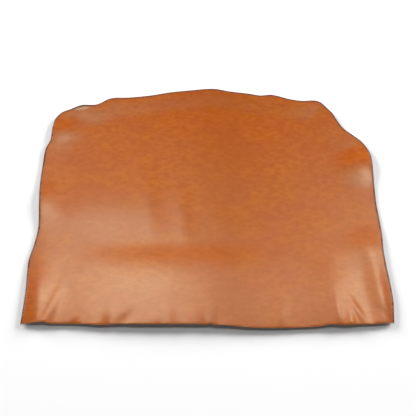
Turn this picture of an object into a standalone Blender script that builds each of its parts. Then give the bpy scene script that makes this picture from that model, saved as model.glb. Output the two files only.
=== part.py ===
# A double shoulder of vegetable-tanned leather, laid out with its smooth grain side up.
# One piece, as it comes from the tannery: a straight knife cut across the back of the animal,
# and the natural edge of the skin round both shoulders and the neck.
#
# Metres, +Z up. X runs along the knife cut, and +Y from the cut to the neck edge. The origin is
# under the middle of the hide, on the surface that it lies on.
from collections import namedtuple
from math import cos, hypot, radians, sin

import bmesh
import bpy
import numpy as np
from mathutils import Vector
from mathutils.geometry import delaunay_2d_cdt

THICKNESS = 0.003       # even all over, as it is shaved
CURL_REACH = 0.120      # a raised edge starts to lift this far inside the edge
SETTLED = 0.0025        # what would rise less than this lies flat
RIM_STEP = 0.017        # between points along the edge
RIM_ROWS = (0.014, 0.034, 0.058)    # rows of points that follow the edge, this far inside it
FIELD_STEP = 0.028      # between points in the middle, which start where the rows end
FIELD_MARGIN = 0.072

LEATHER_COLOUR = (0.46, 0.125, 0.027, 1.0)
LEATHER_ROUGHNESS = 0.38

# A place on the edge, and how high the edge is raised there.
Mark = namedtuple("Mark", "x y lift")

CUT_EDGE = (
    Mark(-0.705, -0.564, 0.000),    # left corner
    Mark(-0.665, -0.560, 0.001),
    Mark(-0.612, -0.558, 0.001),
    Mark(-0.600, -0.562, 0.001),
    Mark(-0.560, -0.563, 0.001),
    Mark(-0.480, -0.564, 0.001),
    Mark(-0.405, -0.569, 0.001),
    Mark(-0.345, -0.566, 0.001),
    Mark(-0.220, -0.567, 0.001),
    Mark(-0.030, -0.567, 0.001),
    Mark(-0.004, -0.568, 0.001),    # the knife slipped a little
    Mark(0.008, -0.564, 0.001),
    Mark(0.022, -0.569, 0.000),
    Mark(0.065, -0.571, 0.000),
    Mark(0.160, -0.579, 0.000),
    Mark(0.235, -0.581, 0.000),
    Mark(0.345, -0.578, 0.000),
    Mark(0.420, -0.574, 0.001),
    Mark(0.462, -0.567, 0.002),
    Mark(0.515, -0.570, 0.002),
    Mark(0.555, -0.567, 0.002),
    Mark(0.635, -0.564, 0.002),
    Mark(0.701, -0.558, 0.000),     # right corner
)

NATURAL_EDGE = (
    Mark(0.701, -0.558, 0.000),     # right corner of the cut
    Mark(0.709, -0.470, 0.002),
    Mark(0.707, -0.400, 0.002),
    Mark(0.699, -0.263, 0.002),
    Mark(0.702, -0.190, 0.002),
    Mark(0.700, -0.105, 0.001),
    Mark(0.697, -0.042, 0.001),
    Mark(0.701, 0.130, 0.002),
    Mark(0.702, 0.190, 0.004),      # right shoulder
    Mark(0.693, 0.228, 0.005),
    Mark(0.669, 0.274, 0.005),
    Mark(0.632, 0.310, 0.006),
    Mark(0.598, 0.344, 0.005),
    Mark(0.573, 0.388, 0.005),
    Mark(0.557, 0.426, 0.005),
    Mark(0.533, 0.459, 0.005),
    Mark(0.508, 0.489, 0.006),
    Mark(0.480, 0.499, 0.007),      # right side of the neck
    Mark(0.425, 0.497, 0.007),
    Mark(0.370, 0.508, 0.006),
    Mark(0.290, 0.533, 0.005),
    Mark(0.235, 0.530, 0.005),
    Mark(0.190, 0.539, 0.005),
    Mark(0.100, 0.553, 0.005),
    Mark(0.025, 0.568, 0.005),      # top of the neck
    Mark(-0.080, 0.559, 0.005),
    Mark(-0.173, 0.547, 0.005),
    Mark(-0.264, 0.529, 0.005),
    Mark(-0.354, 0.518, 0.005),
    Mark(-0.439, 0.511, 0.007),
    Mark(-0.499, 0.476, 0.008),     # notch on the left side of the neck
    Mark(-0.567, 0.468, 0.010),
    Mark(-0.611, 0.450, 0.009),
    Mark(-0.653, 0.430, 0.008),     # left shoulder
    Mark(-0.677, 0.394, 0.007),
    Mark(-0.684, 0.352, 0.006),
    Mark(-0.686, 0.284, 0.006),
    Mark(-0.702, 0.236, 0.005),
    Mark(-0.705, 0.155, 0.004),
    Mark(-0.705, 0.060, 0.005),
    Mark(-0.697, -0.040, 0.006),
    Mark(-0.688, -0.157, 0.002),
    Mark(-0.696, -0.230, 0.001),
    Mark(-0.708, -0.300, 0.001),
    Mark(-0.707, -0.350, 0.001),
    Mark(-0.703, -0.430, 0.001),
    Mark(-0.705, -0.564, 0.000),    # left corner of the cut
)

# A soft ridge or, with a negative height, a soft trough: where its middle is, half its length
# and half its width, how far its length is turned from +X, how flat its top is along the length
# and across it, where 1 is round, and its height.
Swell = namedtuple("Swell", "x y half_length half_width turn long_crown wide_crown height")

SWELLS = (
    Swell(0.010, -0.560, 0.900, 0.720, 0, 3.0, 1.0, 0.0125),        # the hide rises gently to the cut
    Swell(-0.130, -0.560, 0.325, 0.400, 90, 5.0, 2.0, 0.0070),      # a step behind the middle of the cut end
    Swell(-0.400, 0.060, 0.450, 0.400, 3, 1.0, 1.0, 0.0060),        # the wave behind the step
    Swell(-0.470, -0.050, 0.300, 0.170, 3, 2.0, 1.0, 0.0030),
    Swell(-0.245, -0.030, 0.220, 0.065, 92, 1.0, 1.0, 0.0028),      # soft creases along the back
    Swell(-0.105, -0.085, 0.170, 0.055, 91, 1.0, 1.0, 0.0024),
    Swell(0.030, -0.090, 0.120, 0.080, 90, 1.0, 1.0, 0.0012),
    Swell(-0.650, -0.480, 0.240, 0.080, 90, 1.0, 1.0, 0.0080),      # fold beside the left edge, by the cut
    Swell(-0.640, -0.590, 0.060, 0.045, 90, 1.0, 1.0, 0.0040),
    Swell(0.275, -0.530, 0.110, 0.045, 90, 1.0, 1.0, 0.0024),
    Swell(0.492, -0.460, 0.240, 0.115, 96, 1.0, 1.0, 0.0058),       # ridge that runs in from the cut
    Swell(0.662, -0.450, 0.240, 0.055, 94, 1.0, 1.0, 0.0060),       # fold beside the right edge, by the cut
    Swell(-0.625, 0.338, 0.130, 0.095, 20, 1.0, 1.0, 0.0098),       # raised left shoulder
    Swell(-0.565, 0.480, 0.100, 0.045, 12, 1.0, 1.0, 0.0105),
    Swell(-0.690, -0.010, 0.100, 0.080, 85, 1.0, 1.0, 0.0040),      # raised left side
    Swell(0.648, 0.148, 0.150, 0.130, 0, 1.0, 1.0, 0.0134),         # raised right shoulder
    Swell(0.630, -0.245, 0.120, 0.110, 0, 1.0, 1.0, 0.0048),
    Swell(0.330, 0.440, 0.260, 0.090, -12, 1.0, 1.0, 0.0020),       # waves behind the neck edge
    Swell(-0.260, 0.470, 0.260, 0.080, 14, 1.0, 1.0, 0.0015),
)


def remove_everything():
    for thing in list(bpy.data.objects):
        bpy.data.objects.remove(thing, do_unlink=True)


def blend(start, end, start_knot, end_knot, knot):
    return ((end_knot - knot) * start + (knot - start_knot) * end) / (end_knot - start_knot)


def smooth_run(marks, step):
    # Marks about one step apart on a centripetal Catmull-Rom curve, without its last end.
    marks = [np.array(mark) for mark in marks]
    marks = [2 * marks[0] - marks[1], *marks, 2 * marks[-1] - marks[-2]]
    run = []
    for corners in zip(marks, marks[1:], marks[2:], marks[3:]):
        knots = [0.0]
        for near, far in zip(corners, corners[1:]):
            knots.append(knots[-1] + hypot(*(far - near)[:2]) ** 0.5)
        count = max(1, round(hypot(*(corners[2] - corners[1])[:2]) / step))
        for knot in np.linspace(knots[1], knots[2], count, endpoint=False):
            level = list(corners)
            for reach in (1, 2):
                level = [
                    blend(level[i], level[i + 1], knots[i], knots[i + reach], knot)
                    for i in range(len(level) - 1)
                ]
            run.append(blend(level[0], level[1], knots[1], knots[2], knot))
    return run


def outline():
    # The whole edge, anticlockwise seen from above, as rows of x, y and lift.
    return np.array(smooth_run(CUT_EDGE, RIM_STEP) + smooth_run(NATURAL_EDGE, RIM_STEP))


def measure_to_edge(points, edge):
    # Each point's distance to the edge, negative outside it, and the lift of the edge there.
    start = edge
    run = np.roll(edge, -1, axis=0) - edge
    offset = points[:, None, :2] - start[None, :, :2]
    share = np.sum(offset * run[None, :, :2], axis=2) / np.sum(run[:, :2] ** 2, axis=1)
    share = np.clip(share, 0.0, 1.0)
    gap = offset - share[:, :, None] * run[None, :, :2]
    distance = np.sqrt(np.sum(gap ** 2, axis=2))
    nearest = np.argmin(distance, axis=1)
    rows = np.arange(len(points))
    lift = start[nearest, 2] + share[rows, nearest] * run[nearest, 2]

    beside = (start[:, 1] > points[:, 1:2]) != (start[:, 1] + run[:, 1] > points[:, 1:2])
    rise = np.where(run[:, 1] == 0.0, 1.0, run[:, 1])
    crossing = start[:, 0] + (points[:, 1:2] - start[:, 1]) / rise * run[:, 0]
    inside = np.sum(beside & (points[:, 0:1] < crossing), axis=1) % 2 == 1
    return np.where(inside, 1.0, -1.0) * distance[rows, nearest], lift


def rim_rows(edge):
    # Rows of points that follow the edge inside it, thinned as they go in.
    ahead = np.roll(edge, -1, axis=0)[:, :2] - np.roll(edge, 1, axis=0)[:, :2]
    inward = np.stack((-ahead[:, 1], ahead[:, 0]), axis=1)
    inward /= np.linalg.norm(inward, axis=1)[:, None]
    rows = []
    for number, inset in enumerate(RIM_ROWS):
        row = (edge[:, :2] + inset * inward)[number % 2::1 + number // 2]
        distance, _ = measure_to_edge(row, edge)
        rows.append(row[distance > 0.9 * inset])
    return rows


def field_points(edge):
    # A staggered grid that fills the middle.
    low = edge[:, :2].min(axis=0)
    high = edge[:, :2].max(axis=0)
    row_gap = FIELD_STEP * sin(radians(60))
    grid = []
    for number, y in enumerate(np.arange(low[1], high[1], row_gap)):
        shift = FIELD_STEP / 2 * (number % 2)
        grid += [(x, y) for x in np.arange(low[0] + shift, high[0], FIELD_STEP)]
    grid = np.array(grid)
    distance, _ = measure_to_edge(grid, edge)
    return grid[distance > FIELD_MARGIN]


def swell_height(points, swell):
    # A bump that has faded out a little beyond its rim.
    across = points[:, :2] - np.array((swell.x, swell.y))
    turn = radians(swell.turn)
    along = (across[:, 0] * cos(turn) + across[:, 1] * sin(turn)) / swell.half_length
    aside = (across[:, 1] * cos(turn) - across[:, 0] * sin(turn)) / swell.half_width
    fade = (along ** 2) ** swell.long_crown + (aside ** 2) ** swell.wide_crown
    return swell.height * np.exp(-2.5 * fade)


def settle(height):
    # The weight of the hide presses its lowest parts flat, and it leaves the surface gradually.
    rise = np.maximum(height - SETTLED, 0.0)
    return rise ** 2 / (rise + SETTLED)


def underside_height(points, edge):
    # Zero where the hide lies on the surface, which it never goes below.
    distance, lift = measure_to_edge(points, edge)
    ramp = np.clip(1.0 - distance / CURL_REACH, 0.0, 1.0)
    height = settle(sum(swell_height(points, swell) for swell in SWELLS))
    return height + lift * ramp ** 2 * (3.0 - 2.0 * ramp)


def build_hide():
    edge = outline()
    points = np.concatenate([edge[:, :2], *rim_rows(edge), field_points(edge)])
    rim = list(range(len(edge)))
    flat_points, _, faces, *_ = delaunay_2d_cdt(
        [Vector(point) for point in points], [], [rim], 1, 1e-6)
    plan = np.array([tuple(point) for point in flat_points])
    height = underside_height(plan, edge)
    middle = (edge[:, :2].min(axis=0) + edge[:, :2].max(axis=0)) / 2

    bm = bmesh.new()
    under = [bm.verts.new((*(place - middle), z)) for place, z in zip(plan, height)]
    for face in faces:
        bm.faces.new([under[corner] for corner in face])
    grain_side = bmesh.ops.extrude_face_region(bm, geom=bm.faces[:])["geom"]
    grain_points = [item for item in grain_side if isinstance(item, bmesh.types.BMVert)]
    bmesh.ops.translate(bm, verts=grain_points, vec=(0.0, 0.0, THICKNESS))
    bmesh.ops.recalc_face_normals(bm, faces=bm.faces[:])
    mesh = bpy.data.meshes.new("hide")
    bm.to_mesh(mesh)
    bm.free()
    return mesh


def leather():
    material = bpy.data.materials.new("leather")
    material.use_nodes = True
    shader = material.node_tree.nodes["Principled BSDF"]
    shader.inputs["Base Color"].default_value = LEATHER_COLOUR
    shader.inputs["Roughness"].default_value = LEATHER_ROUGHNESS
    shader.inputs["Metallic"].default_value = 0.0
    return material


def main():
    remove_everything()
    mesh = build_hide()
    mesh.materials.append(leather())
    mesh.shade_smooth()
    mesh.set_sharp_from_angle(angle=radians(40))
    hide = bpy.data.objects.new("hide", mesh)
    bpy.context.scene.collection.objects.link(hide)


main()
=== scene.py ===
from math import cos, hypot, pi, radians, sin

import bpy
import numpy as np
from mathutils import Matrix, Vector
from mathutils.geometry import delaunay_2d_cdt
from mathutils.kdtree import KDTree


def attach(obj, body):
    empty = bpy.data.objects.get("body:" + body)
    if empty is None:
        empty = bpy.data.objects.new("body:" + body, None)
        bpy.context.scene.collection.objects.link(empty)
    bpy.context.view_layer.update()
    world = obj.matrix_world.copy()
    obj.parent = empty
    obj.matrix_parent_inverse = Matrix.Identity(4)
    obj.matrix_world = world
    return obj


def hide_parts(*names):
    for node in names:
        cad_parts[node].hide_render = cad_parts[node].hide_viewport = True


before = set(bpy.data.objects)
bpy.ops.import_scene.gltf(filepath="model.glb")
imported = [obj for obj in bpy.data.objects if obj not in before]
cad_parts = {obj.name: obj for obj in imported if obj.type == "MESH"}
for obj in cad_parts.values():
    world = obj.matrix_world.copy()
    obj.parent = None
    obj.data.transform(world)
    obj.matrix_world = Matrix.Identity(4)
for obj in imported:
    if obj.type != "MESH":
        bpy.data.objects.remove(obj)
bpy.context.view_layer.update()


# the hide, in metres
hide = {
    "node": "hide",
    "slot": "grain_leather",
    "flat": (1.42, 1.15),       # width and length of the piece it is cut to
    "area": 1.49,               # its flat area, in square metres
    "thickness": 0.003,
    "curlReach": 0.120,         # a raised edge starts to lift this far inside the edge
    "settled": 0.0025,          # what would rise less than this lies flat
    "swellFade": 2.5,           # how steeply a swell fades out towards its rim
    "rimStep": 0.006,           # between points along the edge
    "fieldStep": 0.0069,        # between points in the middle
    "fieldMargin": 0.62,        # the middle's points stay this share of their step away from the edge
    "tracedStep": 0.0015,       # between the places on the edge that distances are measured to
    "rimMark": 0.030,           # how far in the distance to the edge is kept for the materials
    "rimBevel": 0.0007,         # the edge is knocked off by handling
    "bevelAngle": 60,           # degrees, past which a corner is knocked off
    "sharpAngle": 38,           # degrees, past which a corner isn't shaded smooth
}

# along the knife cut, left to right: x, y and how high the edge is raised
cutEdge = [
    (-0.705, -0.564, 0.000),
    (-0.665, -0.560, 0.001),
    (-0.612, -0.558, 0.001),
    (-0.600, -0.562, 0.001),
    (-0.560, -0.563, 0.001),
    (-0.480, -0.564, 0.001),
    (-0.405, -0.569, 0.001),
    (-0.345, -0.566, 0.001),
    (-0.220, -0.567, 0.001),
    (-0.030, -0.567, 0.001),
    (-0.004, -0.568, 0.001),    # the knife slipped a little
    (0.008, -0.564, 0.001),
    (0.022, -0.569, 0.000),
    (0.065, -0.571, 0.000),
    (0.160, -0.579, 0.000),
    (0.235, -0.581, 0.000),
    (0.345, -0.578, 0.000),
    (0.420, -0.574, 0.001),
    (0.462, -0.567, 0.002),
    (0.515, -0.570, 0.002),
    (0.555, -0.567, 0.002),
    (0.635, -0.564, 0.002),
    (0.701, -0.558, 0.000),
]

# round the natural edge, from the right end of the cut by way of the neck to its left end
naturalEdge = [
    (0.701, -0.558, 0.000),
    (0.709, -0.470, 0.002),
    (0.707, -0.400, 0.002),
    (0.699, -0.263, 0.002),
    (0.702, -0.190, 0.002),
    (0.700, -0.105, 0.001),
    (0.697, -0.042, 0.001),
    (0.701, 0.130, 0.002),
    (0.702, 0.190, 0.004),      # right shoulder
    (0.693, 0.228, 0.005),
    (0.669, 0.274, 0.005),
    (0.632, 0.310, 0.006),
    (0.598, 0.344, 0.005),
    (0.573, 0.388, 0.005),
    (0.557, 0.426, 0.005),
    (0.533, 0.459, 0.005),
    (0.508, 0.489, 0.006),
    (0.480, 0.499, 0.007),      # right side of the neck
    (0.425, 0.497, 0.007),
    (0.370, 0.508, 0.006),
    (0.290, 0.533, 0.005),
    (0.235, 0.530, 0.005),
    (0.190, 0.539, 0.005),
    (0.100, 0.553, 0.005),
    (0.025, 0.568, 0.005),      # top of the neck
    (-0.080, 0.559, 0.005),
    (-0.173, 0.547, 0.005),
    (-0.264, 0.529, 0.005),
    (-0.354, 0.518, 0.005),
    (-0.439, 0.511, 0.007),
    (-0.499, 0.476, 0.008),     # notch on the left side of the neck
    (-0.567, 0.468, 0.010),
    (-0.611, 0.450, 0.009),
    (-0.653, 0.430, 0.008),     # left shoulder
    (-0.677, 0.394, 0.007),
    (-0.684, 0.352, 0.006),
    (-0.686, 0.284, 0.006),
    (-0.702, 0.236, 0.005),
    (-0.705, 0.155, 0.004),
    (-0.705, 0.060, 0.005),
    (-0.697, -0.040, 0.006),
    (-0.688, -0.157, 0.002),
    (-0.696, -0.230, 0.001),
    (-0.708, -0.300, 0.001),
    (-0.707, -0.350, 0.001),
    (-0.703, -0.430, 0.001),
    (-0.705, -0.564, 0.000),
]

# soft ridges, and troughs where the height is negative: x and y of the middle, half the length
# and half the width, the turn of the length from +X in degrees, how flat the top is along the
# length and across it, where 1 is round, and the height; the rows whose half width is under
# 0.040 are too fine for the solid, which has all the others
swells = [
    (0.010, -0.560, 0.900, 0.720, 0, 3.0, 1.0, 0.0125),     # the hide rises gently to the cut
    (-0.130, -0.560, 0.325, 0.400, 90, 5.0, 2.0, 0.0070),   # a step behind the middle of the cut end
    (-0.400, 0.060, 0.450, 0.400, 3, 1.0, 1.0, 0.0060),     # the wave behind the step
    (-0.470, -0.050, 0.300, 0.170, 3, 2.0, 1.0, 0.0030),
    (-0.245, -0.030, 0.220, 0.065, 92, 1.0, 1.0, 0.0028),   # soft creases along the back
    (-0.105, -0.085, 0.170, 0.055, 91, 1.0, 1.0, 0.0024),
    (0.030, -0.090, 0.120, 0.080, 90, 1.0, 1.0, 0.0012),
    (-0.650, -0.480, 0.240, 0.080, 90, 1.0, 1.0, 0.0080),   # fold beside the left edge, by the cut
    (-0.597, -0.505, 0.140, 0.034, 74, 1.0, 1.0, 0.0038),
    (-0.640, -0.590, 0.060, 0.045, 90, 1.0, 1.0, 0.0040),
    (-0.520, -0.590, 0.062, 0.022, 62, 1.0, 1.0, -0.0036),  # dips along the cut, left to right
    (-0.392, -0.592, 0.088, 0.028, 86, 1.0, 1.0, -0.0034),
    (-0.318, -0.560, 0.080, 0.036, 52, 1.0, 1.0, -0.0022),
    (-0.277, -0.410, 0.090, 0.024, 90, 1.0, 1.0, 0.0007),   # a faint ridge behind them
    (-0.188, -0.588, 0.040, 0.022, 90, 1.0, 1.0, -0.0022),
    (-0.118, -0.592, 0.090, 0.032, 92, 1.0, 1.0, -0.0024),
    (-0.015, -0.592, 0.085, 0.032, 88, 1.0, 1.0, -0.0026),
    (0.275, -0.530, 0.110, 0.045, 90, 1.0, 1.0, 0.0024),    # low ridge right of the middle
    (0.492, -0.460, 0.240, 0.115, 96, 1.0, 1.0, 0.0058),    # ridge that runs in from the cut
    (0.492, -0.520, 0.100, 0.022, 97, 1.0, 1.0, 0.0020),    # and narrow ones on it
    (0.540, -0.555, 0.070, 0.026, 95, 1.0, 1.0, 0.0024),
    (0.570, -0.515, 0.100, 0.022, 118, 1.0, 1.0, 0.0020),
    (0.662, -0.450, 0.240, 0.055, 94, 1.0, 1.0, 0.0060),    # fold beside the right edge, by the cut
    (-0.625, 0.338, 0.130, 0.095, 20, 1.0, 1.0, 0.0098),    # raised left shoulder
    (-0.565, 0.480, 0.100, 0.045, 12, 1.0, 1.0, 0.0105),
    (-0.690, -0.010, 0.100, 0.080, 85, 1.0, 1.0, 0.0040),   # raised left side
    (0.648, 0.148, 0.150, 0.130, 0, 1.0, 1.0, 0.0134),      # raised right shoulder
    (0.630, -0.245, 0.120, 0.110, 0, 1.0, 1.0, 0.0048),     # raised right side
    (0.330, 0.440, 0.260, 0.090, -12, 1.0, 1.0, 0.0020),    # waves behind the neck edge
    (-0.260, 0.470, 0.260, 0.080, 14, 1.0, 1.0, 0.0015),
]


def blendMarks(start, end, startKnot, endKnot, knot):
    # the mark between two others that belongs to a knot between theirs
    return ((endKnot - knot) * start + (knot - startKnot) * end) / (endKnot - startKnot)


def smoothRun(marks, step):
    # rows about one step apart on a smooth curve through the marks, without its last end
    marks = [np.array(mark) for mark in marks]
    marks = [2 * marks[0] - marks[1], *marks, 2 * marks[-1] - marks[-2]]
    run = []
    for corners in zip(marks, marks[1:], marks[2:], marks[3:]):
        knots = [0.0]
        for near, far in zip(corners, corners[1:]):
            knots.append(knots[-1] + hypot(*(far - near)[:2]) ** 0.5)   # a root keeps out loops
        count = max(1, round(hypot(*(corners[2] - corners[1])[:2]) / step))
        for knot in np.linspace(knots[1], knots[2], count, endpoint=False):
            level = list(corners)
            for reach in (1, 2):
                level = [blendMarks(level[i], level[i + 1], knots[i], knots[i + reach], knot)
                         for i in range(len(level) - 1)]
            run.append(blendMarks(level[0], level[1], knots[1], knots[2], knot))
    return run


def edgeTree(run):
    # finds the nearest place on the edge
    tree = KDTree(len(run))
    for number, place in enumerate(run):
        tree.insert((place[0], place[1], 0.0), number)
    tree.balance()
    return tree


def fieldPlaces(rim, tree, step):
    # a staggered grid that fills the outline up to just inside the edge
    ahead = np.roll(rim, -1, axis=0)
    places = []
    margin = hide["fieldMargin"] * step
    rowGap = step * sin(radians(60))
    for number, y in enumerate(np.arange(rim[:, 1].min() + rowGap / 2, rim[:, 1].max(), rowGap)):
        crossed = (rim[:, 1] > y) != (ahead[:, 1] > y)
        share = (y - rim[crossed, 1]) / (ahead[crossed, 1] - rim[crossed, 1])
        walls = np.sort(rim[crossed, 0] + share * (ahead[crossed, 0] - rim[crossed, 0]))
        shift = step / 2 * (number % 2)
        for left, right in zip(walls[::2], walls[1::2]):
            columns = np.arange(np.ceil((left - shift) / step), np.floor((right - shift) / step) + 1)
            places += [(column * step + shift, y) for column in columns]
    return [place for place in places if tree.find((*place, 0.0))[2] > margin]


def swellHeight(plan, x, y, halfLength, halfWidth, turn, longCrown, wideCrown, height):
    # a soft bump that has faded out a little beyond its rim
    across = plan - np.array((x, y))
    turn = radians(turn)
    along = (across[:, 0] * cos(turn) + across[:, 1] * sin(turn)) / halfLength
    aside = (across[:, 1] * cos(turn) - across[:, 0] * sin(turn)) / halfWidth
    fade = (along ** 2) ** longCrown + (aside ** 2) ** wideCrown
    return height * np.exp(-hide["swellFade"] * fade)


def settle(height):
    # the weight of the hide presses its lowest parts flat, and it leaves the floor gradually
    rise = np.maximum(height - hide["settled"], 0.0)
    return rise ** 2 / (rise + hide["settled"])


def softStep(share):
    # from 0 to 1 without a corner at either end
    return share ** 2 * (3.0 - 2.0 * share)


def planMesh():
    # the hide's underside, as it lies, with each point's distance to both kinds of edge
    insideOnly = 1
    weld = 1e-7
    cutRun = np.array(smoothRun(cutEdge, hide["tracedStep"]))
    naturalRun = np.array(smoothRun(naturalEdge, hide["tracedStep"]))
    wholeRun = np.concatenate([cutRun, naturalRun])
    wholeTree = edgeTree(wholeRun)
    cutTree = edgeTree(cutRun)
    naturalTree = edgeTree(naturalRun)
    rim = np.array(smoothRun(cutEdge, hide["rimStep"]) + smoothRun(naturalEdge, hide["rimStep"]))
    places = [tuple(place) for place in rim[:, :2]] + fieldPlaces(rim, wholeTree, hide["fieldStep"])
    outline = list(range(len(rim)))
    flat, _, faces, *_ = delaunay_2d_cdt(
        [Vector(place) for place in places], [], [outline], insideOnly, weld)
    plan = np.array([tuple(place) for place in flat])

    height = settle(sum(swellHeight(plan, *row) for row in swells))
    cutDistance = np.full(len(plan), hide["rimMark"])
    naturalDistance = np.full(len(plan), hide["rimMark"])
    for number, place in enumerate(plan):
        _, nearest, distance = wholeTree.find((*place, 0.0))
        if distance < hide["curlReach"]:
            height[number] += wholeRun[nearest, 2] * softStep(1.0 - distance / hide["curlReach"])
        if distance < hide["rimMark"]:
            cutDistance[number] = min(hide["rimMark"], cutTree.find((*place, 0.0))[2])
            naturalDistance[number] = min(hide["rimMark"], naturalTree.find((*place, 0.0))[2])

    middle = (rim[:, :2].min(axis=0) + rim[:, :2].max(axis=0)) / 2
    corners = np.column_stack((plan - middle, height))
    mesh = bpy.data.meshes.new("hidePlan")
    mesh.from_pydata(corners.tolist(), [], faces)
    for name, values in (("cutDistance", cutDistance), ("naturalDistance", naturalDistance)):
        mesh.attributes.new(name, "FLOAT", "POINT").data.foreach_set("value", values)
    if mesh.polygons[0].normal.z < 0.0:
        mesh.flip_normals()
    return mesh


# helpers for every node tree


def addNode(tree, kind, inputs=None, **settings):
    node = tree.nodes.new(kind)
    for name, value in settings.items():
        setattr(node, name, value)
    for name, value in (inputs or {}).items():
        if isinstance(value, bpy.types.NodeSocket):
            tree.links.new(value, node.inputs[name])
        else:
            node.inputs[name].default_value = value
    return node


def addMath(tree, operation, first, second=0.0, third=0.0):
    node = tree.nodes.new("ShaderNodeMath")
    node.operation = operation
    for socket, value in zip(node.inputs, (first, second, third)):
        if isinstance(value, bpy.types.NodeSocket):
            tree.links.new(value, socket)
        else:
            socket.default_value = value
    return node.outputs[0]


def addGroup(tree, group, inputs):
    node = tree.nodes.new("ShaderNodeGroup")
    node.node_tree = group
    for name, value in inputs.items():
        node.inputs[name].default_value = value
    return node.outputs


def mixColour(tree, factor, first, second):
    node = tree.nodes.new("ShaderNodeMix")
    node.data_type = "RGBA"
    for socket, value in zip((node.inputs[0], node.inputs[6], node.inputs[7]), (factor, first, second)):
        if isinstance(value, bpy.types.NodeSocket):
            tree.links.new(value, socket)
        elif isinstance(value, tuple):
            socket.default_value = (*value, 1.0)
        else:
            socket.default_value = value
    return node.outputs[2]


def newTree(name, kind, inputs, outputs):
    # an empty node group: an input is a name, a socket type and a value, an output the first two
    tree = bpy.data.node_groups.new(name, kind)
    for label, socketType, value in inputs:
        socket = tree.interface.new_socket(label, in_out="INPUT", socket_type=socketType)
        if value is not None:
            socket.default_value = value
    for label, socketType in outputs:
        tree.interface.new_socket(label, in_out="OUTPUT", socket_type=socketType)
    return tree, tree.nodes.new("NodeGroupInput").outputs, tree.nodes.new("NodeGroupOutput").inputs


def newMaterial(name):
    material = bpy.data.materials.new(name)
    material.use_nodes = True
    tree = material.node_tree
    return material, tree, tree.nodes["Principled BSDF"]


# layers of the dye's uneven uptake: the group's output and its size input, the scale along the
# cut, where 1 is round and less is drawn out, and the detail
dyeLayers = [
    ("Blotches", "Blotch Size", 0.70, 3.0),
    ("Clouds", "Cloud Size", 0.50, 3.0),
    ("Streaks", "Streak Size", 0.55, 2.0),
]


def makeMottle():
    # the dye's layers, each from 0 to 1
    tree, given, result = newTree("leatherMottle", "ShaderNodeTree", [
        *[(size, "NodeSocketFloat", 0.05) for _, size, _, _ in dyeLayers],
        ("Seed", "NodeSocketFloat", 0.0),
    ], [(layer, "NodeSocketFloat") for layer, *_ in dyeLayers])
    place = addNode(tree, "ShaderNodeTexCoord").outputs["Object"]
    for layer, size, draw, detail in dyeLayers:
        drawn = addNode(tree, "ShaderNodeMapping", {"Vector": place, "Scale": (draw, 1.0, 1.0)}).outputs[0]
        noise = addNode(tree, "ShaderNodeTexNoise", {
            "Vector": drawn, "W": given["Seed"], "Scale": addMath(tree, "DIVIDE", 1.0, given[size]),
            "Detail": detail, "Roughness": 0.55}, noise_dimensions="4D")
        spread = addNode(tree, "ShaderNodeMapRange", {      # the noise seldom leaves this range
            "Value": noise.outputs[0], "From Min": 0.30, "From Max": 0.70}, interpolation_type="SMOOTHSTEP")
        tree.links.new(spread.outputs[0], result[layer])
    return tree


# the fine relief of every skin: its pores and the pebble between them
fineRelief = {
    "poreShare": 0.5,           # how deep a pore is beside the pebble's depth
    "pebbleScale": 0.22,        # beside the pores' own
}


def makeGrain():
    # pores and pebble as a height in metres
    tree, given, result = newTree("leatherGrain", "ShaderNodeTree", [
        ("Pore Size", "NodeSocketFloat", 0.0011),
        ("Depth", "NodeSocketFloat", 0.00006),
        ("Seed", "NodeSocketFloat", 0.0),
    ], [("Height", "NodeSocketFloat")])
    place = addNode(tree, "ShaderNodeTexCoord").outputs["Object"]
    scale = addMath(tree, "DIVIDE", 1.0, given["Pore Size"])
    pores = addNode(tree, "ShaderNodeTexVoronoi", {
        "Vector": place, "W": given["Seed"], "Scale": scale, "Randomness": 1.0},
        voronoi_dimensions="4D", feature="F1").outputs["Distance"]
    pebbleScale = addMath(tree, "MULTIPLY", scale, fineRelief["pebbleScale"])
    pebble = addNode(tree, "ShaderNodeTexNoise", {
        "Vector": place, "W": given["Seed"], "Scale": pebbleScale, "Detail": 5.0, "Roughness": 0.6},
        noise_dimensions="4D").outputs[0]
    both = addMath(tree, "ADD", addMath(tree, "MULTIPLY", pores, fineRelief["poreShare"]), pebble)
    tree.links.new(addMath(tree, "MULTIPLY", both, given["Depth"]), result["Height"])
    return tree


# the strip along the backbone, which takes more dye
spineStrip = {
    "colour": (0.372, 0.079, 0.0060),
    "dye": 0.60,                # how much of that colour shows in its middle
    "place": {"Middle": 0.075, "Width": 0.380},
    "core": 0.15,               # from here it fades out to the width
    "waver": 0.40,              # how far its border wanders
    "waverScale": 7.0,
}


def makeSpineMask():
    # 1 along the backbone, fading out at the width, with a wavering border
    tree, given, result = newTree("spineMask", "ShaderNodeTree", [
        ("Middle", "NodeSocketFloat", 0.0),
        ("Width", "NodeSocketFloat", 0.3),
    ], [("Mask", "NodeSocketFloat")])
    place = addNode(tree, "ShaderNodeTexCoord").outputs["Object"]
    waver = addNode(tree, "ShaderNodeTexNoise", {
        "Vector": place, "Scale": spineStrip["waverScale"], "Detail": 3.0}).outputs[0]
    split = addNode(tree, "ShaderNodeSeparateXYZ", {0: place}).outputs
    aside = addMath(tree, "ABSOLUTE", addMath(tree, "SUBTRACT", split[0], given["Middle"]))
    reach = addMath(tree, "MULTIPLY_ADD", waver, spineStrip["waver"], aside)
    mask = addNode(tree, "ShaderNodeMapRange", {
        "Value": reach, "From Min": spineStrip["core"], "From Max": given["Width"],
        "To Min": 1.0, "To Max": 0.0}, interpolation_type="SMOOTHSTEP")
    tree.links.new(mask.outputs[0], result["Mask"])
    return tree


# the ragged inner border of both painted rims: the shade along the natural edge and the highlight along the
# cut
rimBorder = {
    "narrowest": 0.5,           # share of its width that a rim keeps where the noise is lowest
    "core": 0.3,                # share of what is left, from which it fades out
    "raggedScale": 90.0,        # of the noise that makes it ragged
}


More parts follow.
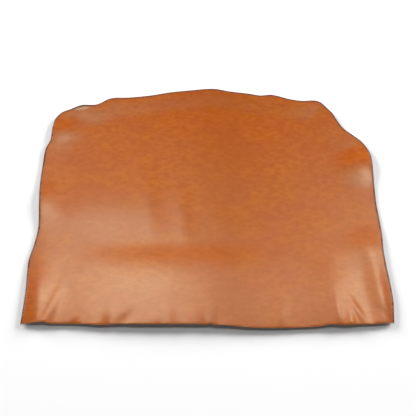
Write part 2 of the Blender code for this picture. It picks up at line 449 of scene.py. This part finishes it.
def makeRimMask(name, attribute):
    # 1 on one kind of edge, fading to 0 at the width, with a ragged inner border
    tree, given, result = newTree(name, "ShaderNodeTree", [
        ("Width", "NodeSocketFloat", 0.0045),
    ], [("Mask", "NodeSocketFloat")])
    distance = addNode(tree, "ShaderNodeAttribute", attribute_name=attribute).outputs["Fac"]
    place = addNode(tree, "ShaderNodeTexCoord").outputs["Object"]
    ragged = addNode(tree, "ShaderNodeTexNoise", {
        "Vector": place, "Scale": rimBorder["raggedScale"], "Detail": 3.0}).outputs[0]
    share = addMath(tree, "ADD", ragged, rimBorder["narrowest"])
    width = addMath(tree, "MULTIPLY", given["Width"], share)
    core = addMath(tree, "MULTIPLY", width, rimBorder["core"])
    mask = addNode(tree, "ShaderNodeMapRange", {
        "Value": distance, "From Min": core, "From Max": width, "To Min": 1.0, "To Max": 0.0},
        interpolation_type="SMOOTHSTEP")
    tree.links.new(mask.outputs[0], result["Mask"])
    return tree


# the leather's four skins; "dye" and "relief" are what each gives to the shared groups
grainSide = {
    "gold": (0.472, 0.115, 0.0042),         # the dye takes from gold to red, and darker in streaks
    "red": (0.422, 0.079, 0.0165),
    "dark": (0.358, 0.065, 0.0010),
    "dye": {"Blotch Size": 0.110, "Cloud Size": 0.038, "Streak Size": 0.0150, "Seed": 5.0},
    "blotches": 0.62,                       # how much of each layer of the dye shows
    "clouds": 0.26,
    "streaks": 0.70,
    "roughness": 0.238,
    "patchiness": 0.03,                     # how much the roughness varies with the blotches
    "gloss": 1.0,                           # glazed: twice the shine of a plain dressed surface
    "tint": (1.0, 1.0, 0.71),               # the waxed finish shines a little warm
    "relief": {"Pore Size": 0.0011, "Depth": 0.00005, "Seed": 1.0},
    "streakDepth": 0.00006,
    "cutHighlightColour": (0.620, 0.270, 0.120),   # a painted highlight along the cut, where the rounded edge catches light
    "knifeWidth": 0.0045,
    "cutHighlightShare": 0.60,
    "rimWidth": 0.0120,                     # towards the natural edge it is painted darker, partly as painted shade where the edge turns down, and dulls
    "rimShare": 0.70,
    "rimDulling": 0.20,
}
fleshSide = {
    "colour": (0.420, 0.205, 0.090),
    "dark": (0.330, 0.140, 0.055),
    "dye": {"Blotch Size": 0.09, "Cloud Size": 0.012, "Streak Size": 0.005, "Seed": 11.0},
    "blotches": 0.5,
    "clouds": 0.5,
    "roughness": 0.93,
    "fuzz": 0.25,
    "relief": {"Pore Size": 0.0022, "Depth": 0.0004, "Seed": 5.0},
}
knifeCut = {                                # the fibres in the thickness, which take less dye
    "colour": (0.480, 0.230, 0.105),
    "dark": (0.300, 0.110, 0.040),
    "dye": {"Blotch Size": 0.02, "Cloud Size": 0.004, "Streak Size": 0.002, "Seed": 21.0},
    "roughness": 0.80,
    "gloss": 0.1,
    "relief": {"Pore Size": 0.0009, "Depth": 0.0002, "Seed": 8.0},
}
shadedRim = {                                # the natural edge, painted darker and dull; the dark is partly painted shade where the edge turns down
    "colour": (0.135, 0.026, 0.0050),
    "dark": (0.085, 0.015, 0.0030),
    "dye": {"Blotch Size": 0.05, "Cloud Size": 0.008, "Streak Size": 0.003, "Seed": 27.0},
    "roughness": 0.62,
    "gloss": 0.1,
    "relief": {"Pore Size": 0.0012, "Depth": 0.0002, "Seed": 9.0},
}


def bumpFrom(tree, shader, height):
    bump = addNode(tree, "ShaderNodeBump", {"Height": height, "Strength": 1.0, "Distance": 1.0})
    tree.links.new(bump.outputs[0], shader.inputs["Normal"])


def layColour(tree, colour, mask, share, over):
    # lays a share of another colour over what is there, where the mask is
    return mixColour(tree, addMath(tree, "MULTIPLY", mask, share), colour, over)


def grainMaterial(mottle, spine, grain, naturalRim, knifeRim):
    look = grainSide
    material, tree, shader = newMaterial("grainSide")
    tone = addGroup(tree, mottle, look["dye"])
    strip = addGroup(tree, spine, spineStrip["place"])["Mask"]
    rim = addGroup(tree, naturalRim, {"Width": look["rimWidth"]})["Mask"]
    knife = addGroup(tree, knifeRim, {"Width": look["knifeWidth"]})["Mask"]
    clouds = addMath(tree, "MULTIPLY", tone["Clouds"], look["clouds"])
    red = addMath(tree, "MULTIPLY_ADD", tone["Blotches"], look["blotches"], clouds)
    colour = mixColour(tree, red, look["gold"], look["red"])
    colour = layColour(tree, colour, strip, spineStrip["dye"], spineStrip["colour"])
    colour = layColour(tree, colour, tone["Streaks"], look["streaks"], look["dark"])
    # a darker colour laid on towards the natural edge: partly painted shade where the edge turns down
    colour = layColour(tree, colour, rim, look["rimShare"], shadedRim["colour"])
    # a painted highlight laid along the cut, where the rounded edge catches light
    colour = layColour(tree, colour, knife, look["cutHighlightShare"], look["cutHighlightColour"])
    tree.links.new(colour, shader.inputs["Base Color"])

    smoothest = look["roughness"] - look["patchiness"] / 2
    patchy = addMath(tree, "MULTIPLY_ADD", tone["Blotches"], look["patchiness"], smoothest)
    roughness = addMath(tree, "MULTIPLY_ADD", rim, look["rimDulling"], patchy)
    tree.links.new(roughness, shader.inputs["Roughness"])
    shader.inputs["Specular IOR Level"].default_value = look["gloss"]
    shader.inputs["Specular Tint"].default_value = (*look["tint"], 1.0)
    pores = addGroup(tree, grain, look["relief"])["Height"]
    bumpFrom(tree, shader, addMath(tree, "MULTIPLY_ADD", tone["Streaks"], look["streakDepth"], pores))
    return material


def fleshMaterial(mottle, grain):
    look = fleshSide
    material, tree, shader = newMaterial("fleshSide")
    tone = addGroup(tree, mottle, look["dye"])
    clouds = addMath(tree, "MULTIPLY", tone["Clouds"], look["clouds"])
    mask = addMath(tree, "MULTIPLY_ADD", tone["Blotches"], look["blotches"], clouds)
    tree.links.new(mixColour(tree, mask, look["colour"], look["dark"]), shader.inputs["Base Color"])
    shader.inputs["Roughness"].default_value = look["roughness"]
    shader.inputs["Sheen Weight"].default_value = look["fuzz"]
    bumpFrom(tree, shader, addGroup(tree, grain, look["relief"])["Height"])
    return material


def fibreMaterial(name, look, mottle, grain):
    # bare fibres with hardly any shine
    material, tree, shader = newMaterial(name)
    clouds = addGroup(tree, mottle, look["dye"])["Clouds"]
    tree.links.new(mixColour(tree, clouds, look["colour"], look["dark"]), shader.inputs["Base Color"])
    shader.inputs["Roughness"].default_value = look["roughness"]
    shader.inputs["Specular IOR Level"].default_value = look["gloss"]
    bumpFrom(tree, shader, addGroup(tree, grain, look["relief"])["Height"])
    return material


# the low relief that no two hides share, as inputs of the Geometry Nodes tree
slack = {
    "Slack Height": 0.0010,     # soft unevenness all over
    "Slack Size": 0.110,
    "Wrinkle Height": 0.00022,  # growth marks that run along the neck
    "Wrinkle Size": 0.016,
    "Neck Start": 0.05,         # they begin here and are full at the neck edge
    "Neck Edge": 0.45,
    "Rim Width": 0.0045,        # faces nearer to the natural edge than this get the darker rim, partly painted shade
    "Seed": 4.0,
}


def makeSlackTree():
    tree, given, result = newTree("hideSlack", "GeometryNodeTree", [
        ("Geometry", "NodeSocketGeometry", None),
        *[(name, "NodeSocketFloat", value) for name, value in slack.items()],
        ("Material", "NodeSocketMaterial", None),
        ("Rim Material", "NodeSocketMaterial", None),
    ], [("Geometry", "NodeSocketGeometry")])
    slackRest = 0.42                    # where the noise has this value the hide stays as it lies
    wrinkleRest = 0.35
    wrinkleDraw = (0.13, 1.0, 1.0)      # wrinkles are long along the neck
    place = addNode(tree, "GeometryNodeInputPosition").outputs[0]
    split = addNode(tree, "ShaderNodeSeparateXYZ", {0: place}).outputs

    softScale = addMath(tree, "DIVIDE", 1.0, given["Slack Size"])
    soft = addNode(tree, "ShaderNodeTexNoise", {
        "Vector": place, "W": given["Seed"], "Scale": softScale, "Detail": 2.0, "Roughness": 0.4},
        noise_dimensions="4D").outputs[0]
    soft = addMath(tree, "SUBTRACT", soft, slackRest)
    soft = addMath(tree, "MULTIPLY", soft, given["Slack Height"])

    drawn = addNode(tree, "ShaderNodeVectorMath", {
        0: place, 1: wrinkleDraw}, operation="MULTIPLY").outputs[0]
    lineScale = addMath(tree, "DIVIDE", 1.0, given["Wrinkle Size"])
    lines = addNode(tree, "ShaderNodeTexNoise", {
        "Vector": drawn, "W": given["Seed"], "Scale": lineScale, "Detail": 1.0, "Distortion": 0.6},
        noise_dimensions="4D").outputs[0]
    lines = addMath(tree, "SUBTRACT", lines, wrinkleRest)
    lines = addMath(tree, "MULTIPLY", lines, given["Wrinkle Height"])
    neck = addNode(tree, "ShaderNodeMapRange", {
        "Value": split[1], "From Min": given["Neck Start"], "From Max": given["Neck Edge"]},
        interpolation_type="SMOOTHSTEP").outputs[0]

    raised = addMath(tree, "ADD", soft, addMath(tree, "MULTIPLY", lines, neck))
    lying = addMath(tree, "MAXIMUM", addMath(tree, "ADD", split[2], raised), 0.0)
    moved = addNode(tree, "ShaderNodeCombineXYZ", {"X": split[0], "Y": split[1], "Z": lying}).outputs[0]
    shaped = addNode(tree, "GeometryNodeSetPosition", {"Geometry": given["Geometry"], "Position": moved})
    real = addNode(tree, "GeometryNodeRealizeInstances", {"Geometry": shaped.outputs[0]})
    dressed = addNode(tree, "GeometryNodeSetMaterial", {
        "Geometry": real.outputs[0], "Material": given["Material"]})
    # faces along the natural edge take the darker rim material, partly painted shade
    distance = addNode(tree, "GeometryNodeInputNamedAttribute", {"Name": "naturalDistance"}).outputs[0]
    shadedEdge = addMath(tree, "LESS_THAN", distance, given["Rim Width"])
    rimmed = addNode(tree, "GeometryNodeSetMaterial", {
        "Geometry": dressed.outputs[0], "Selection": shadedEdge, "Material": given["Rim Material"]})
    tree.links.new(rimmed.outputs[0], result["Geometry"])
    return tree


def makeHide():
    mottle, grain = makeMottle(), makeGrain()
    naturalRim = makeRimMask("naturalRim", "naturalDistance")
    knifeRim = makeRimMask("knifeRim", "cutDistance")
    glazed = grainMaterial(mottle, makeSpineMask(), grain, naturalRim, knifeRim)
    flesh = fleshMaterial(mottle, grain)
    cut = fibreMaterial("edgeFace", knifeCut, mottle, grain)
    # the natural edge's rim: a darker colour, partly painted shade where the edge turns down
    shadedEdge = fibreMaterial("shadedRim", shadedRim, mottle, grain)
    mesh = planMesh()
    for material in (glazed, flesh, cut, shadedEdge):
        mesh.materials.append(material)
    draft = bpy.data.objects.new("hideDraft", mesh)
    bpy.context.scene.collection.objects.link(draft)

    relief = draft.modifiers.new("slack", "NODES")
    relief.node_group = makeSlackTree()
    values = {**slack, "Material": glazed, "Rim Material": shadedEdge}
    for item in relief.node_group.interface.items_tree:
        if item.in_out == "INPUT" and item.name in values:
            relief[item.identifier] = values[item.name]
    wall = draft.modifiers.new("thickness", "SOLIDIFY")
    wall.thickness = hide["thickness"]
    wall.offset = 1.0
    wall.material_offset = 1        # from the glazed side to the flesh side, and the rim in painted shade stays
    wall.material_offset_rim = 2    # from the glazed side to the cut
    knocked = draft.modifiers.new("knocked edge", "BEVEL")
    knocked.width = hide["rimBevel"]
    knocked.segments = 2
    knocked.limit_method = "ANGLE"
    knocked.angle_limit = radians(hide["bevelAngle"])

    evaluated = draft.evaluated_get(bpy.context.evaluated_depsgraph_get())
    finished = bpy.data.meshes.new_from_object(evaluated)
    bpy.data.objects.remove(draft)
    finished.name = "leatherHide"
    finished.shade_smooth()
    finished.set_sharp_from_angle(angle=radians(hide["sharpAngle"]))
    piece = bpy.data.objects.new("leatherHide", finished)
    bpy.context.scene.collection.objects.link(piece)
    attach(piece, "root")
    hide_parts(hide["node"])


# camera, floor and light, in metres and degrees
studio = {
    "elevation": 60.0,
    "distance": 2.9,
    "aim": (0.0, -0.049, 0.0),
    "focal": 702.4,             # in pixels of the frame
    "frameSize": 416,
    "sensor": 36.0,             # in millimetres
    "floorSize": 14.0,
    "floorColour": (0.93, 0.93, 0.93),
    "floorRoughness": 0.9,
    "floorGap": 0.0004,
    "skyColour": (1.0, 1.0, 1.0),
    "sky": 0.04,
    "backdrop": 0.86,           # what shows behind the floor in low views; it lights nothing
}

# softboxes: where each hangs, its width and depth, how bright its face is, and whether it is
# turned to the hide or hangs level
softboxes = {
    "keyBox": {"centre": (-1.01, 1.38, 4.0), "size": (1.52, 0.86), "glow": 4.35, "turned": False},
    "leftWash": {"centre": (-1.4, 2.2, 4.1), "size": (2.4, 1.6), "glow": 0.8, "turned": False},
    "rightWash": {"centre": (1.6, 2.0, 4.1), "size": (1.8, 1.8), "glow": 0.64, "turned": False},
    "secondBox": {"centre": (2.05, 1.42, 3.9), "size": (1.1, 1.0), "glow": 4.4, "turned": False},
    "fillBox": {"centre": (0.52, 1.33, 4.06), "size": (1.84, 0.96), "glow": 1.1, "turned": False},
    "middleWash": {"centre": (0.15, 2.1, 4.1), "size": (0.70, 1.6), "glow": 0.4, "turned": False},
    "leftShoulderWash": {"centre": (-1.30, 3.20, 4.15), "size": (1.2, 0.6), "glow": 0.40, "turned": False},
    "rightShoulderWash": {"centre": (1.25, 3.12, 4.15), "size": (1.0, 0.5), "glow": 0.40, "turned": False},
    "cutWash": {"centre": (0.17, 0.80, 4.2), "size": (2.75, 0.5), "glow": 0.9, "turned": False},
    "leftBox": {"centre": (-13.4, 10.2, 4.2), "size": (7.2, 4.8), "glow": 51.0, "turned": True},
    "rightBox": {"centre": (13.4, 10.2, 4.2), "size": (7.2, 4.8), "glow": 51.0, "turned": True},
    "frontBox": {"centre": (0.0, -6.0, 4.5), "size": (4.0, 2.0), "glow": 1.2, "turned": True},
}


def makeCamera():
    data = bpy.data.cameras.new("camera")
    data.sensor_width = studio["sensor"]
    data.lens = studio["focal"] / studio["frameSize"] * studio["sensor"]
    camera = bpy.data.objects.new("camera", data)
    tilt = radians(studio["elevation"])
    back = Vector((0.0, -cos(tilt), sin(tilt)))
    camera.location = Vector(studio["aim"]) + studio["distance"] * back
    camera.rotation_euler = back.to_track_quat("Z", "Y").to_euler()
    bpy.context.scene.collection.objects.link(camera)
    bpy.context.scene.camera = camera


def makeFloor():
    half = studio["floorSize"] / 2
    mesh = bpy.data.meshes.new("floor")
    corners = [(-half, -half), (half, -half), (half, half), (-half, half)]
    mesh.from_pydata([(x, y, -studio["floorGap"]) for x, y in corners], [], [(0, 1, 2, 3)])
    material, _, shader = newMaterial("paleFloor")
    shader.inputs["Base Color"].default_value = (*studio["floorColour"], 1.0)
    shader.inputs["Roughness"].default_value = studio["floorRoughness"]
    shader.inputs["Specular IOR Level"].default_value = 0.0
    mesh.materials.append(material)
    floor = bpy.data.objects.new("floor", mesh)
    bpy.context.scene.collection.objects.link(floor)


def makeLights():
    world = bpy.data.worlds.new("studio")
    world.use_nodes = True
    sky = world.node_tree.nodes["Background"]
    sky.inputs["Color"].default_value = (*studio["skyColour"], 1.0)
    seen = addNode(world.node_tree, "ShaderNodeLightPath").outputs["Is Camera Ray"]
    strength = addMath(world.node_tree, "MULTIPLY_ADD", seen, studio["backdrop"], studio["sky"])
    world.node_tree.links.new(strength, sky.inputs["Strength"])
    bpy.context.scene.world = world
    for name, box in softboxes.items():
        data = bpy.data.lights.new(name, "AREA")
        data.shape = "RECTANGLE"
        data.size, data.size_y = box["size"]
        data.energy = box["glow"] * pi * data.size * data.size_y
        light = bpy.data.objects.new(name, data)
        light.location = box["centre"]
        if box["turned"]:
            light.rotation_euler = Vector(box["centre"]).to_track_quat("Z", "Y").to_euler()
        light.visible_camera = False
        bpy.context.scene.collection.objects.link(light)
    bpy.context.scene.view_settings.view_transform = "Standard"


makeHide()
print("hide made")
makeCamera()
makeFloor()
makeLights()
print("studio ready")
